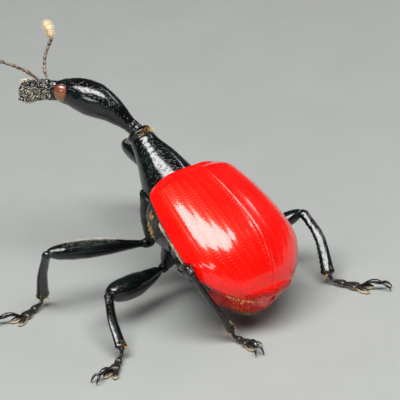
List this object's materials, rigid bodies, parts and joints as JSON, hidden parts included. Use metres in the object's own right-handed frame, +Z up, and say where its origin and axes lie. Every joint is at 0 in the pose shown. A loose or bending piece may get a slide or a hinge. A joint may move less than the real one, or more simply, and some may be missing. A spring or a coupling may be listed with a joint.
{
  "type": "giraffe weevil",
  "caption": "Long-necked beetle standing on its legs, with a domed back of two wing cases, a conical thorax, a slim raised head and elbowed feelers.",
  "frame": {"origin": "on the floor under the middle of the animal's bounding box", "axes": "+Z up, the head looks towards -Y, the animal's left side is +X"},
  "size_m": [0.0134, 0.0136, 0.0102],
  "materials": {
    "black_shell": "glossy black chitin with a faint green sheen",
    "red_shell": "glossy saturated red chitin with rows of fine pits",
    "tail_shell": "satin dark red-brown chitin with orange hairs",
    "eye": "glossy brown-orange facets",
    "feeler_shell": "satin black-brown chitin",
    "club_felt": "tan velvety hairs",
    "foot_felt": "dark segments with pale cream pads"
  },
  "bodies": {
    "root": {"abdomen": "black_shell", "antenna_club_left": "club_felt", "antenna_club_right": "club_felt", "antenna_funicle_left": "feeler_shell", "antenna_funicle_right": "feeler_shell", "antenna_scape_left": "feeler_shell", "antenna_scape_right": "feeler_shell", "coxa_front_left": "black_shell", "coxa_front_right": "black_shell", "coxa_hind_left": "black_shell", "coxa_hind_right": "black_shell", "coxa_middle_left": "black_shell", "coxa_middle_right": "black_shell", "elytron_left": "red_shell", "elytron_right": "red_shell", "eye_left": "eye", "eye_right": "eye", "femur_front_left": "black_shell", "femur_front_right": "black_shell", "femur_hind_left": "black_shell", "femur_hind_right": "black_shell", "femur_middle_left": "black_shell", "femur_middle_right": "black_shell", "head": "black_shell", "mandible_left": "black_shell", "mandible_right": "black_shell", "prothorax": "black_shell", "pygidium": "tail_shell", "scutellum": "black_shell", "tarsus_front_left": "foot_felt", "tarsus_front_right": "foot_felt", "tarsus_hind_left": "foot_felt", "tarsus_hind_right": "foot_felt", "tarsus_middle_left": "foot_felt", "tarsus_middle_right": "foot_felt", "thorax": "black_shell", "tibia_front_left": "black_shell", "tibia_front_right": "black_shell", "tibia_hind_left": "black_shell", "tibia_hind_right": "black_shell", "tibia_middle_left": "black_shell", "tibia_middle_right": "black_shell"}
  },
  "joints": []
}
